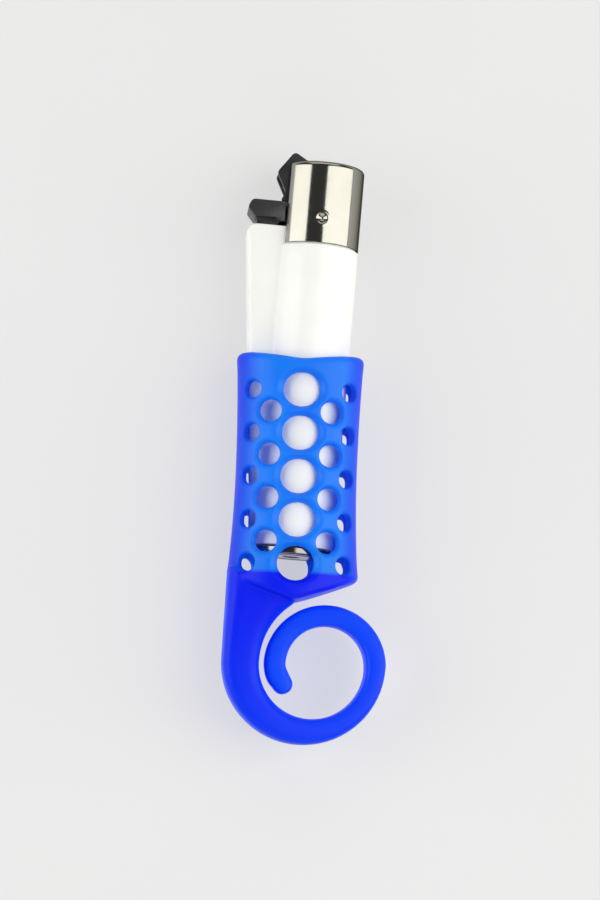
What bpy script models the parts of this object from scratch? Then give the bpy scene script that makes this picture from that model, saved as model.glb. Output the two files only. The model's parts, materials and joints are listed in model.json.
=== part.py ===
"""Refillable flint lighter in a perforated moulded sleeve with a curled hook.

The pieces are modelled standing: X to the hood's back, Y away from the front face, Z towards the flame.
The sleeve's own origin is on its axis, at its cavity floor. The lighter leans in the sleeve, so its
pieces hang from an empty of their own, whose origin is the middle of the lighter's base. A last empty
lays the whole object on its back: world +Y towards the flame, world +Z out of the front face, z = 0 at
the back.
"""
import math

import bmesh
import bpy
from mathutils import Vector

MM = 0.001
GAP = 0.3  # left between pieces that touch
TURN = 2 * math.pi

# Sleeve, in millimetres about its axis and cavity floor
SLEEVE_HALF_DEPTH = 9.4
SLEEVE_HALF_WIDTH_FOOT = 11.8
SLEEVE_HALF_WIDTH_WAIST = 11.0
SLEEVE_HALF_WIDTH_RIM = 11.6
WAIST_HEIGHT = 19.0
RIM_HEIGHT_SIDE = 40.0
RIM_HEIGHT_MIDDLE = 38.4
FOOT_HEIGHT_SIDE = -0.95
FOOT_HEIGHT_MIDDLE = -5.05
SLEEVE_WALL = 1.45
CAVITY_HALF_DEPTH = 7.7
OUTER_SQUARENESS = 2.3
CAVITY_SQUARENESS = 2.5
SLEEVE_SIDES = 44

# Holes in each face: radius, distance from the middle, lean of the hole's axis in degrees, lowest
# height, rows, sides of the cutter
HOLE_PITCH = 7.82
HOLE_GROUPS = (
    (3.15, 0.0, 0, 1.45, 5, 16),
    (2.0, 5.8, 20, 5.3, 4, 12),
    (1.5, 9.0, 40, 1.3, 5, 10),
)
PUNCH_INSIDE = 3.2  # how far a hole's cutter reaches in and out from the wall's outer surface
PUNCH_OUTSIDE = 2.5

# Hook: ends of the stem's outer edge, then centres and radii of the curled edges
STEM_ROOT = ((-11.6, 0.8), (1.0, -3.4))
STEM_OUTER_TOP = (-11.85, -2.0)
STEM_OUTER_BOTTOM = (-12.2, -15.9)
STEM_INNER_CENTRE = (7.7, -16.4)
STEM_INNER_RADIUS = 13.2
CURL_OUTER_CENTRE = (2.6, -15.9)
CURL_OUTER_RADIUS = 14.8
CURL_INNER_CENTRE = (4.1, -16.4)
CURL_INNER_RADIUS = 9.6
TAIL_OUTER_CENTRE = (6.45, -16.4)
TAIL_OUTER_RADIUS = 11.0
TAIL_INNER_CENTRE = (6.5, -16.4)
TAIL_INNER_RADIUS = 7.15
TIP_OUTER_CENTRE = (2.2, -16.4)
TIP_OUTER_RADIUS = 6.7
TIP_CENTRE = (-1.05, -19.9)
TIP_RADIUS = 1.85
HOOK_HALF_DEPTHS = (6.6, 5.2, 4.2, 3.4, 2.8, 2.4)
HOOK_SQUARENESS = 3.2
HOOK_SIDES = 12

# Where the lighter's base stands in the sleeve, and how it leans towards +X
LIGHTER_SEAT = (-0.4, 0.0, 3.1)
LIGHTER_LEAN = math.radians(2.7)

# Lighter body
BARREL_RADIUS = 7.5
BASE_CAP_TOP = 1.25
TANK_BOTTOM = BASE_CAP_TOP + GAP
BARREL_TOP = 56.45
SPIGOT_RADIUS = 6.95
SPIGOT_TOP = 59.6
RIB_FOOT = 3.0
RIB_SHOULDER = 58.2
RIB_TOP = 59.9
RIB_FOOT_X = -7.8
RIB_SHOULDER_X = -13.2
RIB_TOP_X = -12.3
RIB_HALF_WIDTH = 3.7
RIB_FACE_HALF_WIDTH = 3.45
RIB_CORNER = 1.0
RIB_ROOT_X = -6.2
RIB_BURIED_X = -5.0
BASE_BORE = 1.5
PLUG_BORE = 2.4
PLUG_RADIUS = 6.15
PLUG_TOP = 5.6
MOUTH_RADIUS = 6.4
MOUTH_TOP = 11.0
RESERVOIR_RADIUS = 6.3
RESERVOIR_TOP = 52.0

# Flint system
WELL_X = -4.6
WELL_RADIUS = 2.65
WELL_FLOOR = 14.0
WELL_WALL = 1.05
FLINT_TUBE_RADIUS = 2.4
FLINT_TUBE_BORE = 1.35
FLINT_TUBE_BOTTOM = 18.0
FLINT_TUBE_TOP = 65.3
WHEEL_Z = 68.8
WHEEL_RADIUS = 2.85
WHEEL_ROOT_RADIUS = 2.6
WHEEL_HALF_WIDTH = 1.55
WHEEL_TEETH = 24
AXLE_RADIUS = 0.6
AXLE_BORE = 0.7
CHEEK_INNER = 1.85
CHEEK_OUTER = 3.0
FLINT_RADIUS = 1.2
FLINT_LENGTH = 5.0
FLINT_TOP = WHEEL_Z - WHEEL_RADIUS - 0.15
TUBE_PLUG_BOTTOM = 16.5
TUBE_PLUG_TOP = 20.0

# Lever
PIVOT_X = -3.0
PIVOT_Z = 60.8
TRUNNION_RADIUS = 0.6
TRUNNION_BORE = 0.7
PAD_HALF_WIDTH = 4.0
LEVER_ARM_INNER = 2.75
LEVER_ARM_OUTER = 3.4
LEVER_BOSS_OUTER = 4.05
POCKET_HALF_WIDTH = 3.0
EAR_INNER = 4.4
EAR_OUTER = 5.6

# Burner valve and jet
JET_X = 2.0
VALVE_HOLE_RADIUS = 2.0
COLLAR_BOTTOM = 62.5

# Hood
HOOD_THICKNESS = 0.35
HOOD_BOTTOM = BARREL_TOP + GAP
HOOD_TOP = 71.8
HOOD_ROLL = 0.8
HOOD_CUT_X = -6.2
DIMPLE_Z = 61.2
DIMPLE_SPHERE = 1.6
DIMPLE_DEPTH = 0.44

ROUND = 24  # sides of the small turned pieces


def clear_scene():
    for obj in list(bpy.data.objects):
        bpy.data.objects.remove(obj, do_unlink=True)


def make_material(name, colour, roughness, metallic=0.0):
    material = bpy.data.materials.new(name)
    material.use_nodes = True
    shader = material.node_tree.nodes["Principled BSDF"]
    shader.inputs["Base Color"].default_value = (*colour, 1.0)
    shader.inputs["Roughness"].default_value = roughness
    shader.inputs["Metallic"].default_value = metallic
    material.diffuse_color = (*colour, 1.0)
    return material


def make_empty(name, parent=None, location=(0, 0, 0), rotation=(0, 0, 0)):
    empty = bpy.data.objects.new(name, None)
    bpy.context.collection.objects.link(empty)
    empty.parent = parent
    empty.location = [value * MM for value in location]
    empty.rotation_euler = rotation
    return empty


def make_object(name, bm, parent, material=None, origin=(0, 0, 0)):
    """Turns a bmesh in millimetres into an object, with its origin at a point of its parent's frame."""
    bmesh.ops.translate(bm, verts=bm.verts, vec=-Vector(origin))
    bmesh.ops.scale(bm, verts=bm.verts, vec=(MM, MM, MM))
    bmesh.ops.recalc_face_normals(bm, faces=bm.faces)
    mesh = bpy.data.meshes.new(name)
    bm.to_mesh(mesh)
    bm.free()
    mesh.shade_smooth()
    mesh.set_sharp_from_angle(angle=math.radians(35))
    obj = bpy.data.objects.new(name, mesh)
    bpy.context.collection.objects.link(obj)
    obj.parent = parent
    obj.location = [value * MM for value in origin]
    if material:
        mesh.materials.append(material)
    return obj


def add_boolean(target, tool, operation):
    """Adds an exact boolean with a hidden tool, which stays out of the object."""
    tool.hide_render = True
    tool.display_type = "WIRE"
    modifier = target.modifiers.new(tool.name, "BOOLEAN")
    modifier.operation = operation
    modifier.solver = "EXACT"
    modifier.object = tool


def cut(target, name, bm, parent, origin=(0, 0, 0)):
    add_boolean(target, make_object(name, bm, parent, origin=origin), "DIFFERENCE")


def fuse(target, name, bm, parent, origin=(0, 0, 0)):
    add_boolean(target, make_object(name, bm, parent, origin=origin), "UNION")


def add_loft(bm, rings, closed=False):
    """Joins rings of equally many points with quads, and caps the first and last ring unless closed."""
    loops = [[bm.verts.new(point) for point in ring] for ring in rings]
    count = len(rings[0])
    pairs = list(zip(loops, loops[1:]))
    if closed:
        pairs.append((loops[-1], loops[0]))
    else:
        bm.faces.new(loops[0])
        bm.faces.new(loops[-1])
    for low, high in pairs:
        for i in range(count):
            j = (i + 1) % count
            bm.faces.new((low[i], low[j], high[j], high[i]))
    return loops


def add_turned(bm, profile, sides=ROUND, centre=(0.0, 0.0)):
    """Spins a closed outline of (radius, height) points about a vertical axis; radius 0 makes a pole."""
    rings = []
    for radius, height in profile:
        if radius == 0:
            rings.append([bm.verts.new((centre[0], centre[1], height))])
            continue
        ring = []
        for i in range(sides):
            angle = TURN * i / sides
            x = centre[0] + radius * math.cos(angle)
            y = centre[1] + radius * math.sin(angle)
            ring.append(bm.verts.new((x, y, height)))
        rings.append(ring)
    for low, high in zip(rings, rings[1:] + rings[:1]):
        if len(low) == 1 and len(high) == 1:
            continue
        for i in range(sides):
            j = (i + 1) % sides
            corners = [low[i % len(low)], low[j % len(low)], high[j % len(high)], high[i % len(high)]]
            bm.faces.new(list(dict.fromkeys(corners)))


def turned(profile, sides=ROUND, centre=(0.0, 0.0)):
    bm = bmesh.new()
    add_turned(bm, profile, sides, centre)
    return bm


def add_prism(bm, outline, near, far):
    """Extrudes an outline of (x, z) points along Y."""
    add_loft(bm, [[(x, y, z) for x, z in outline] for y in (near, far)])


def prism(outline, near, far):
    bm = bmesh.new()
    add_prism(bm, outline, near, far)
    return bm


def rectangle(left, bottom, right, top):
    return [(left, bottom), (right, bottom), (right, top), (left, top)]


def circle(centre, radius, sides=ROUND):
    points = []
    for i in range(sides):
        angle = TURN * i / sides
        points.append((centre[0] + radius * math.cos(angle), centre[1] + radius * math.sin(angle)))
    return points


def arc_point(centre, radius, degrees):
    angle = math.radians(degrees)
    return (centre[0] + radius * math.cos(angle), centre[1] + radius * math.sin(angle))


def filleted(corners, steps=5):
    """Rounds each (x, z, radius) corner of an outline with an arc."""
    outline = []
    count = len(corners)
    for i, (x, z, radius) in enumerate(corners):
        if radius == 0:
            outline.append((x, z))
            continue
        corner = Vector((x, z))
        before = (Vector(corners[i - 1][:2]) - corner).normalized()
        after = (Vector(corners[(i + 1) % count][:2]) - corner).normalized()
        half = before.angle(after) / 2
        centre = corner + (before + after).normalized() * radius / math.sin(half)
        start = corner + before * radius / math.tan(half) - centre
        end = corner + after * radius / math.tan(half) - centre
        first = math.atan2(start.y, start.x)
        sweep = (math.atan2(end.y, end.x) - first + math.pi) % TURN - math.pi
        for step in range(steps + 1):
            angle = first + sweep * step / steps
            outline.append((centre.x + radius * math.cos(angle), centre.y + radius * math.sin(angle)))
    return outline


def coil(radius, wire, bottom, top, turns, centre, steps=8, sides=4):
    """A round-wire compression spring as one closed tube."""
    rings = []
    count = turns * steps
    for i in range(count + 1):
        angle = TURN * i / steps
        height = bottom + wire + (top - bottom - 2 * wire) * i / count
        ring = []
        for k in range(sides):
            around = TURN * k / sides
            reach = radius + wire * math.cos(around)
            x = centre + reach * math.cos(angle)
            ring.append((x, reach * math.sin(angle), height + wire * math.sin(around)))
        rings.append(ring)
    bm = bmesh.new()
    add_loft(bm, rings)
    return bm


def superellipse(half_width, half_depth, squareness, sides):
    """Points of a rounded rectangle, with one exactly on each axis."""
    points = []
    for i in range(sides):
        angle = TURN * i / sides
        across = math.cos(angle) if i % (sides // 2) != sides // 4 else 0.0
        away = math.sin(angle) if i % (sides // 2) else 0.0
        x = math.copysign(abs(across) ** (2 / squareness), across) * half_width
        y = math.copysign(abs(away) ** (2 / squareness), away) * half_depth
        points.append((x, y))
    return points


def sleeve_half_width(height):
    """Outer half-width of the sleeve, which narrows to a waist."""
    if height < WAIST_HEIGHT:
        flare = SLEEVE_HALF_WIDTH_FOOT - SLEEVE_HALF_WIDTH_WAIST
        share = (WAIST_HEIGHT - height) / WAIST_HEIGHT
    else:
        flare = SLEEVE_HALF_WIDTH_RIM - SLEEVE_HALF_WIDTH_WAIST
        share = (height - WAIST_HEIGHT) / (RIM_HEIGHT_SIDE - WAIST_HEIGHT)
    return SLEEVE_HALF_WIDTH_WAIST + flare * share ** 2


def edge_height(x, middle, side):
    """Height of the V-shaped rim or foot at a distance from the middle."""
    return middle + (side - middle) * abs(x) / SLEEVE_HALF_WIDTH_FOOT


def sleeve_ring(share, inset, half_depth, squareness, low):
    """One ring of the sleeve's outer or inner wall, a share of the way up from its low edge."""
    low_middle, low_side = low
    level = low_side + (RIM_HEIGHT_SIDE - low_side) * share
    half_width = sleeve_half_width(level) - inset
    ring = []
    for x, y in superellipse(half_width, half_depth, squareness, SLEEVE_SIDES):
        bottom = edge_height(x, low_middle, low_side)
        top = edge_height(x, RIM_HEIGHT_MIDDLE, RIM_HEIGHT_SIDE)
        ring.append((x, y, bottom + (top - bottom) * share))
    return ring


def sleeve_body():
    """The tube: outer wall up from the V-shaped foot, then the cavity down to a flat floor."""
    foot = (FOOT_HEIGHT_MIDDLE, FOOT_HEIGHT_SIDE)
    outer = [sleeve_ring(i / 7, 0, SLEEVE_HALF_DEPTH, OUTER_SQUARENESS, foot) for i in range(8)]
    cavity = [
        sleeve_ring(i / 5, SLEEVE_WALL, CAVITY_HALF_DEPTH, CAVITY_SQUARENESS, (0.0, 0.0))
        for i in range(5, -1, -1)
    ]
    bm = bmesh.new()
    loops = [[bm.verts.new(point) for point in ring] for ring in outer + cavity]
    for low, high in zip(loops, loops[1:]):
        for i in range(SLEEVE_SIDES):
            j = (i + 1) % SLEEVE_SIDES
            bm.faces.new((low[i], low[j], high[j], high[i]))
    bm.faces.new(loops[-1])
    quarter = SLEEVE_SIDES // 4
    first = loops[0]
    bm.faces.new(first[quarter:3 * quarter + 1])
    bm.faces.new(first[3 * quarter:] + first[:quarter + 1])
    return bm


def hook_edges():
    """Pairs of outer and inner edge points along the hook, from inside the foot to the tail's tip."""
    pairs = [STEM_ROOT]
    steps = 6
    for i in range(steps):
        share = i / steps
        outer = Vector(STEM_OUTER_TOP).lerp(Vector(STEM_OUTER_BOTTOM), share)
        pairs.append((outer, arc_point(STEM_INNER_CENTRE, STEM_INNER_RADIUS, 124 + 56 * share)))
    steps = 14
    for i in range(steps):
        degrees = 180 + 180 * i / steps
        outer = arc_point(CURL_OUTER_CENTRE, CURL_OUTER_RADIUS, degrees)
        pairs.append((outer, arc_point(CURL_INNER_CENTRE, CURL_INNER_RADIUS, degrees)))
    for i in range(steps + 1):
        degrees = 180 * i / steps
        outer = arc_point(TAIL_OUTER_CENTRE, TAIL_OUTER_RADIUS, degrees)
        pairs.append((outer, arc_point(TAIL_INNER_CENTRE, TAIL_INNER_RADIUS, degrees)))
    for outer_degrees, inner_degrees in ((195, 185), (210, 191)):
        outer = arc_point(TIP_OUTER_CENTRE, TIP_OUTER_RADIUS, outer_degrees)
        pairs.append((outer, arc_point(TAIL_INNER_CENTRE, TAIL_INNER_RADIUS, inner_degrees)))
    for degrees in (15, 40, 65):
        outer = arc_point(TIP_CENTRE, TIP_RADIUS, 195 + degrees)
        pairs.append((outer, arc_point(TIP_CENTRE, TIP_RADIUS, 385 - degrees)))
    return pairs


def hook_depth(share):
    """Half the hook's depth a share of the way from the stem to the tip."""
    place = share * (len(HOOK_HALF_DEPTHS) - 1)
    index = min(int(place), len(HOOK_HALF_DEPTHS) - 2)
    start, end = HOOK_HALF_DEPTHS[index:index + 2]
    return start + (end - start) * (place - index)


def hook():
    """The curled hook as a loft of rounded sections between its two edges."""
    edges = hook_edges()
    rings = []
    for i, (outer, inner) in enumerate(edges):
        half_depth = hook_depth(i / (len(edges) - 1))
        middle = ((outer[0] + inner[0]) / 2, (outer[1] + inner[1]) / 2)
        half = ((outer[0] - inner[0]) / 2, (outer[1] - inner[1]) / 2)
        ring = []
        for across, away in superellipse(1.0, half_depth, HOOK_SQUARENESS, HOOK_SIDES):
            ring.append((middle[0] + half[0] * across, away, middle[1] + half[1] * across))
        rings.append(ring)
    bm = bmesh.new()
    add_loft(bm, rings)
    return bm


def add_punch(bm, start, end, across, radius, sides):
    """One hole's cutter from start to end, turned so that no corner lies on its own axes."""
    rings = []
    for centre in (start, end):
        ring = []
        for k in range(sides):
            turn = TURN * (k + 0.5) / sides
            spoke = across * math.cos(turn) + Vector((0, 0, 1)) * math.sin(turn)
            ring.append(centre + spoke * radius)
        rings.append(ring)
    add_loft(bm, rings)


def hole_punches():
    """Cutters of all the holes. Each passes one wall, but the lowest in the middle crosses the foot."""
    bm = bmesh.new()
    for radius, offset, lean, lowest, rows, sides in HOLE_GROUPS:
        angle = math.radians(lean)
        for row in range(rows):
            height = lowest + HOLE_PITCH * row
            share = 1 - (offset / sleeve_half_width(height)) ** OUTER_SQUARENESS
            surface = SLEEVE_HALF_DEPTH * share ** (1 / OUTER_SQUARENESS)
            through = height < radius and not offset
            inside = 2 * surface + PUNCH_OUTSIDE if through else PUNCH_INSIDE
            for side in ((1, -1) if offset else (1,)):
                for face in ((1,) if through else (1, -1)):
                    outward = Vector((side * math.sin(angle), face * math.cos(angle), 0))
                    across = Vector((outward.y, -outward.x, 0))
                    point = Vector((side * offset, face * surface, height))
                    start = point - outward * inside
                    add_punch(bm, start, point + outward * PUNCH_OUTSIDE, across, radius, sides)
    return bm


def make_sleeve(assembly):
    plastic = make_material("sleeve_plastic", (0.02, 0.10, 0.85), 0.3)
    sleeve = make_object("sleeve", sleeve_body(), assembly, plastic)
    fuse(sleeve, "hook_shape", hook(), assembly)
    cut(sleeve, "hole_punches", hole_punches(), assembly)
    return sleeve


def rib_ring(outer_x, height, width):
    """One section of the rib: wide at the barrel, narrower at its face, with rounded corners."""
    face = RIB_FACE_HALF_WIDTH * width
    root = RIB_HALF_WIDTH * (0.5 + 0.5 * width)
    corner = RIB_CORNER * width
    outline = filleted([
        (RIB_BURIED_X, -root, 0),
        (RIB_ROOT_X, -root, 0),
        (outer_x, -face, corner),
        (outer_x, face, corner),
        (RIB_ROOT_X, root, 0),
        (RIB_BURIED_X, root, 0),
    ], steps=3)
    return [(x, y, height) for x, y in outline]


def rib():
    """The rib that carries the lever: it grows out of the barrel and ends in a chamfered shoulder."""
    slope = (RIB_SHOULDER_X - RIB_FOOT_X) / (RIB_SHOULDER - RIB_FOOT)
    rings = []
    for height, width in ((RIB_FOOT, 0.25), (15.0, 0.6), (28.0, 0.9), (36.0, 1.0), (RIB_SHOULDER, 1.0)):
        rings.append(rib_ring(RIB_FOOT_X + slope * (height - RIB_FOOT), height, width))
    rings.append(rib_ring(RIB_TOP_X, RIB_TOP, 1.0))
    bm = bmesh.new()
    add_loft(bm, rings)
    return bm


def reservoir():
    """The gas space beside the flint well: a round cavity less the well's wall."""
    wall = WELL_RADIUS + WELL_WALL
    reach = (RESERVOIR_RADIUS ** 2 - wall ** 2 + WELL_X ** 2) / (2 * WELL_X)
    meet = math.acos(reach / RESERVOIR_RADIUS)
    bend = math.acos((reach - WELL_X) / wall)
    outline = []
    for i in range(25):
        angle = -meet + 2 * meet * i / 24
        outline.append((RESERVOIR_RADIUS * math.cos(angle), RESERVOIR_RADIUS * math.sin(angle)))
    for i in range(1, 10):
        angle = bend - 2 * bend * i / 10
        outline.append((WELL_X + wall * math.cos(angle), wall * math.sin(angle)))
    bm = bmesh.new()
    add_loft(bm, [[(x, y, z) for x, y in outline] for z in (MOUTH_TOP - 0.5, RESERVOIR_TOP)])
    return bm


def ears():
    """The two lugs that carry the lever's trunnions."""
    outline = filleted([
        (PIVOT_X - 1.0, SPIGOT_TOP - 1.0, 0),
        (PIVOT_X + 1.1, SPIGOT_TOP - 1.0, 0),
        (PIVOT_X + 1.1, PIVOT_Z + 1.3, 0.5),
        (PIVOT_X - 1.0, PIVOT_Z + 1.3, 0.5),
    ], steps=2)
    bm = bmesh.new()
    add_prism(bm, outline, -EAR_OUTER, -EAR_INNER)
    add_prism(bm, outline, EAR_INNER, EAR_OUTER)
    return bm


def make_tank(lighter):
    """The white body with its rib and lugs, hollowed for gas, flint tube, valve and lever."""
    nylon = make_material("barrel_nylon", (0.92, 0.93, 0.91), 0.35)
    barrel = turned([
        (0, TANK_BOTTOM),
        (BARREL_RADIUS - 0.2, TANK_BOTTOM),
        (BARREL_RADIUS, TANK_BOTTOM + 0.3),
        (BARREL_RADIUS, BARREL_TOP),
        (SPIGOT_RADIUS, BARREL_TOP),
        (SPIGOT_RADIUS, SPIGOT_TOP),
        (0, SPIGOT_TOP),
    ], sides=40)
    tank = make_object("tank_body", barrel, lighter, nylon)
    fuse(tank, "rib_shape", rib(), lighter)
    fuse(tank, "ear_shapes", ears(), lighter)
    cut(tank, "reservoir_space", reservoir(), lighter)
    mouth = turned([(0, 0), (MOUTH_RADIUS, 0), (MOUTH_RADIUS, MOUTH_TOP), (0, MOUTH_TOP)], 32)
    cut(tank, "reservoir_mouth", mouth, lighter)
    for name, x, radius, floor in (
        ("flint_well", WELL_X, WELL_RADIUS, WELL_FLOOR),
        ("valve_hole", JET_X, VALVE_HOLE_RADIUS, RESERVOIR_TOP - 1),
    ):
        bore = turned([(0, floor), (radius, floor), (radius, 62), (0, 62)], ROUND, (x, 0))
        cut(tank, name, bore, lighter)
    pocket = prism(rectangle(-11.85, 58.1, -7.5, 61), -POCKET_HALF_WIDTH, POCKET_HALF_WIDTH)
    cut(tank, "lever_pocket", pocket, lighter)
    pivots = prism(circle((PIVOT_X, PIVOT_Z), TRUNNION_BORE, 20), -6.5, 6.5)
    cut(tank, "trunnion_holes", pivots, lighter)


def make_base(lighter):
    dark_chrome = make_material("base_metal", (0.16, 0.15, 0.15), 0.25, 1.0)
    cap = turned([
        (BASE_BORE, 0),
        (BARREL_RADIUS - 0.3, 0),
        (BARREL_RADIUS, 0.3),
        (BARREL_RADIUS, BASE_CAP_TOP),
        (BASE_BORE, BASE_CAP_TOP),
    ], sides=40)
    make_object("base_cap", cap, lighter, dark_chrome)
    plug_nylon = make_material("plug_nylon", (0.85, 0.86, 0.84), 0.45)
    plug = turned([
        (PLUG_BORE, TANK_BOTTOM),
        (PLUG_RADIUS, TANK_BOTTOM),
        (PLUG_RADIUS, PLUG_TOP),
        (PLUG_BORE, PLUG_TOP),
    ], sides=32)
    make_object("base_plug", plug, lighter, plug_nylon)


def make_refill_valve(lighter):
    brass = make_material("valve_brass", (0.78, 0.60, 0.28), 0.3, 1.0)
    body = turned([
        (0.85, 2.0), (2.1, 2.0), (2.1, 5.9), (2.9, 5.9), (2.9, 6.6), (2.1, 6.6), (2.1, 10.0),
        (0.5, 10.0), (0.5, 9.3), (1.3, 9.3), (1.3, 3.0), (0.85, 3.0),
    ])
    make_object("refill_valve_body", body, lighter, brass)
    stem = turned([
        (0, 0.5), (0.6, 0.5), (0.6, 4.25), (1.05, 4.25), (1.05, 5.0), (0.5, 5.0), (0.5, 6.2), (0, 6.2),
    ])
    stem_brass = make_material("stem_brass", (0.72, 0.55, 0.26), 0.35, 1.0)
    make_object("refill_valve_stem", stem, lighter, stem_brass)
    rubber = make_material("seal_rubber", (0.03, 0.03, 0.03), 0.7)
    seal = turned([(0.75, 3.2), (1.15, 3.2), (1.15, 3.95), (0.75, 3.95)])
    make_object("refill_valve_seal", seal, lighter, rubber)
    steel = make_material("spring_steel", (0.62, 0.62, 0.64), 0.3, 1.0)
    make_object("refill_valve_spring", coil(0.85, 0.12, 5.3, 9.0, 5, 0.0), lighter, steel)
    return brass, rubber, steel


def make_burner_valve(lighter, brass, rubber, steel):
    axis = (JET_X, 0)
    origin = (JET_X, 0, SPIGOT_TOP)
    body = turned([
        (0.5, 50.5), (1.75, 50.5), (1.75, 54.8), (1.5, 54.8), (1.5, 55.8), (1.75, 55.8),
        (1.75, SPIGOT_TOP + GAP), (2.3, SPIGOT_TOP + GAP), (2.3, 60.6), (0.8, 60.6), (0.8, 59.4),
        (1.35, 59.4), (1.35, 51.5), (0.5, 51.5),
    ], ROUND, axis)
    make_object("burner_valve_body", body, lighter, brass, origin)
    ring = [(1.73 + 0.16 * x, 55.3 + 0.26 * z) for x, z in circle((0, 0), 1.0, 8)]
    make_object("burner_o_ring", turned(ring, ROUND, axis), lighter, rubber, origin)
    felt = make_material("filter_felt", (0.75, 0.72, 0.62), 0.9)
    disc = turned([(0, 49.2), (1.4, 49.2), (1.4, 50.2), (0, 50.2)], ROUND, axis)
    make_object("flow_filter", disc, lighter, felt, origin)
    make_object("burner_valve_spring", coil(0.98, 0.12, 54.2, 59.2, 5, JET_X), lighter, steel)
    jet = turned([
        (0, 53.0), (1.15, 53.0), (1.15, 53.9), (0.6, 53.9), (0.6, 63.7), (0.95, 64.0), (0.95, 65.5),
        (0.5, 66.0), (0.2, 66.0), (0.2, 65.0), (0, 65.0),
    ], ROUND, axis)
    jet_brass = make_material("jet_brass", (0.82, 0.66, 0.34), 0.25, 1.0)
    make_object("jet", jet, lighter, jet_brass, origin)
    collar = turned([
        (0.8, COLLAR_BOTTOM), (1.7, COLLAR_BOTTOM), (1.7, 63.2), (1.3, 63.4), (0.8, 63.4),
    ], ROUND, axis)
    collar_plastic = make_material("collar_plastic", (0.05, 0.05, 0.055), 0.4)
    make_object("jet_collar", collar, lighter, collar_plastic, origin)
    seal = turned([(0, 51.8), (1.1, 51.8), (1.1, 52.7), (0, 52.7)], ROUND, axis)
    make_object("burner_valve_seal", seal, lighter, rubber, origin)


def make_lever(lighter):
    """Thumb pad over a block in the rib, two arms past the flint tube, and a fork at the jet."""
    origin = (PIVOT_X, 0, PIVOT_Z)
    pad = filleted([
        (-7.35, 61.3, 0),
        (-7.35, 64.3, 0.3),
        (-12.7, 64.3, 0.9),
        (-13.4, 62.8, 0.7),
        (-12.0, 61.2, 0.5),
    ])
    black = make_material("lever_plastic", (0.03, 0.028, 0.032), 0.35)
    lever = make_object("lever", prism(pad, -PAD_HALF_WIDTH, PAD_HALF_WIDTH), lighter, black, origin)
    fuse(lever, "lever_block", prism(rectangle(-11.6, 59.6, -7.85, 61.6), -2.75, 2.75), lighter, origin)
    boss = circle((PIVOT_X, PIVOT_Z), 1.15, 20)
    pin = circle((PIVOT_X, PIVOT_Z), TRUNNION_RADIUS, 20)
    for side, sign in (("front", -1), ("back", 1)):
        for part, outline, inner, outer in (
            ("shoulder", rectangle(-8.2, 60.7, -6.6, 64.0), LEVER_ARM_INNER, PAD_HALF_WIDTH - 0.05),
            ("arm", rectangle(-8.1, 60.75, -0.9, 61.8), LEVER_ARM_INNER + 0.05, LEVER_ARM_OUTER),
            ("finger", rectangle(-1.0, 61.3, 3.2, 62.2), 0.95, 2.0),
            ("boss", boss, LEVER_ARM_INNER + 0.1, LEVER_BOSS_OUTER),
            ("trunnion", pin, LEVER_BOSS_OUTER - 0.15, EAR_OUTER - 0.25),
        ):
            piece = prism(outline, sign * inner, sign * outer)
            fuse(lever, "lever_" + part + "_" + side, piece, lighter, origin)
    web = prism(rectangle(-1.7, 60.5, -0.5, 62.0), -LEVER_ARM_OUTER - 0.05, LEVER_ARM_OUTER + 0.05)
    fuse(lever, "lever_web", web, lighter, origin)


def make_hood(lighter):
    """A C-shaped sheet with a rolled top edge and a pressed dimple on each side."""
    roll_centre = (BARREL_RADIUS - HOOD_ROLL, HOOD_TOP - HOOD_ROLL)
    profile = [(BARREL_RADIUS, HOOD_BOTTOM)]
    profile += [arc_point(roll_centre, HOOD_ROLL, 90 * i / 4) for i in range(5)]
    profile += [(roll_centre[0] - 0.2, HOOD_TOP), (roll_centre[0] - 0.2, HOOD_TOP - HOOD_THICKNESS)]
    inner_roll = HOOD_ROLL - HOOD_THICKNESS
    profile += [arc_point(roll_centre, inner_roll, 90 - 90 * i / 3) for i in range(4)]
    profile.append((BARREL_RADIUS - HOOD_THICKNESS, HOOD_BOTTOM))
    half_span = math.pi - math.acos(-HOOD_CUT_X / BARREL_RADIUS)
    steps = 36
    rings = []
    for i in range(steps + 1):
        angle = -half_span + 2 * half_span * i / steps
        rings.append([(r * math.cos(angle), r * math.sin(angle), z) for r, z in profile])
    bm = bmesh.new()
    add_loft(bm, rings)
    chrome = make_material("hood_chrome", (0.80, 0.78, 0.74), 0.12, 1.0)
    hood = make_object("hood", bm, lighter, chrome)
    bosses = bmesh.new()
    dents = bmesh.new()
    for side in (-1, 1):
        inside = side * (BARREL_RADIUS - 0.85)
        add_prism(bosses, circle((0, DIMPLE_Z), 1.45, 16), inside, side * (BARREL_RADIUS - 0.2))
        dent = bmesh.ops.create_uvsphere(dents, u_segments=16, v_segments=10, radius=DIMPLE_SPHERE)
        place = Vector((0, side * (BARREL_RADIUS - DIMPLE_DEPTH + DIMPLE_SPHERE), DIMPLE_Z))
        bmesh.ops.translate(dents, verts=dent["verts"], vec=place)
    fuse(hood, "dimple_bosses", bosses, lighter)
    cut(hood, "dimple_dents", dents, lighter)


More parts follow.
